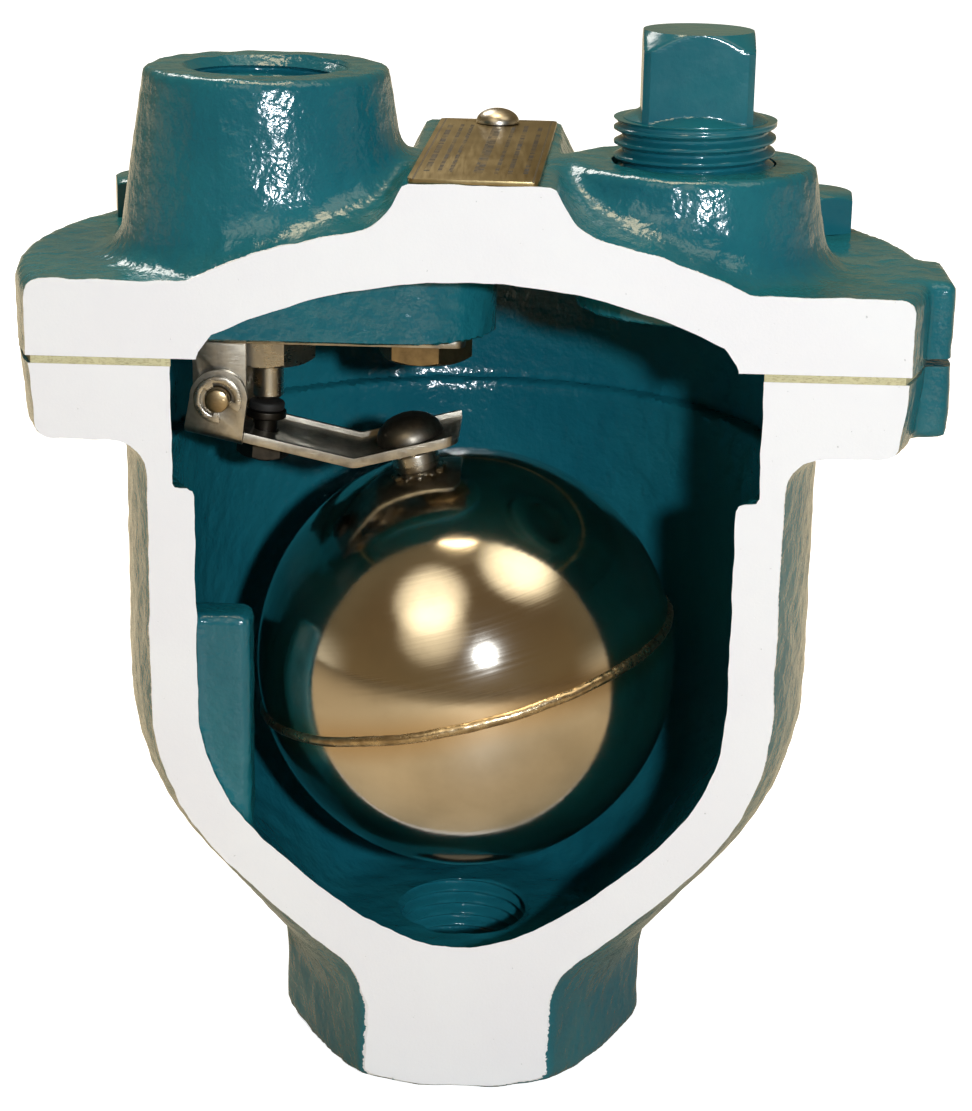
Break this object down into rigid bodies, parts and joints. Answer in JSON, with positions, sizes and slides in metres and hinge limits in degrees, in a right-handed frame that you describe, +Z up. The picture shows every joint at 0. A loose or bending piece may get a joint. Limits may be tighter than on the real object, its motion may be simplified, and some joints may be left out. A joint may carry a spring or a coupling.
{
  "type": "float-operated air release valve",
  "caption": "Cutaway float-operated air release valve: bolted cast body and cover, hollow float on a hinged lever under a vent orifice, hexagon inlet, outlet boss and square-head plug.",
  "frame": {"origin": "centre of the base of the bounding box, on the plane of the inlet hexagon's underside", "axes": "+Z up along the valve axis, +Y from the section plane towards the uncut back, +X towards the square-head plug"},
  "size_m": [0.1222, 0.0894, 0.1413],
  "materials": {
    "casting": "glossy teal enamel over a sand-cast skin, section faces painted matt white",
    "painted_fastener": "glossy teal enamel over machined steel",
    "gasket": "compressed fibre sheet",
    "plate": "etched stainless plate with plain ruled markings",
    "bright_fastener": "bright stainless",
    "linkage": "tumbled stainless sheet and bar",
    "float": "polished stainless with a raised weld seam",
    "seal": "moulded rubber"
  },
  "bodies": {
    "housing": {"body": "casting", "cover": "casting", "cover_gasket": "gasket", "cover_bolt_right": "painted_fastener", "cover_bolt_back": "painted_fastener", "cover_bolt_left": "painted_fastener", "nameplate": "plate", "nameplate_drive_screw": "bright_fastener", "valve_seat": "linkage", "lever_frame": "linkage", "frame_screw": "bright_fastener", "pivot_pin": "bright_fastener", "pivot_clip_front": "bright_fastener", "pivot_clip_back": "bright_fastener"},
    "float_lever": {"lever_arm": "linkage", "orifice_button": "seal", "button_retainer": "linkage", "button_lock_nut": "linkage", "float_screw": "linkage", "float_lock_washer": "linkage", "float_stem_boss": "linkage", "float_upper_half": "float", "float_lower_half": "float", "float_weld_bead": "float"},
    "plug": {"pipe_plug": "painted_fastener"}
  },
  "joints": [
    {"name": "float_lever_hinge", "type": "hinge", "parent": "housing", "child": "float_lever", "pos_m": [-0.03425, -0.01533, 0.093], "axis": [0, 1, 0], "range_deg": [-4.5, 3]},
    {"name": "plug_turn", "type": "hinge", "parent": "housing", "child": "plug", "pos_m": [0.02725, -0.01533, 0.11], "axis": [0, 0, 1], "range_deg": [0, 360]}
  ]
}
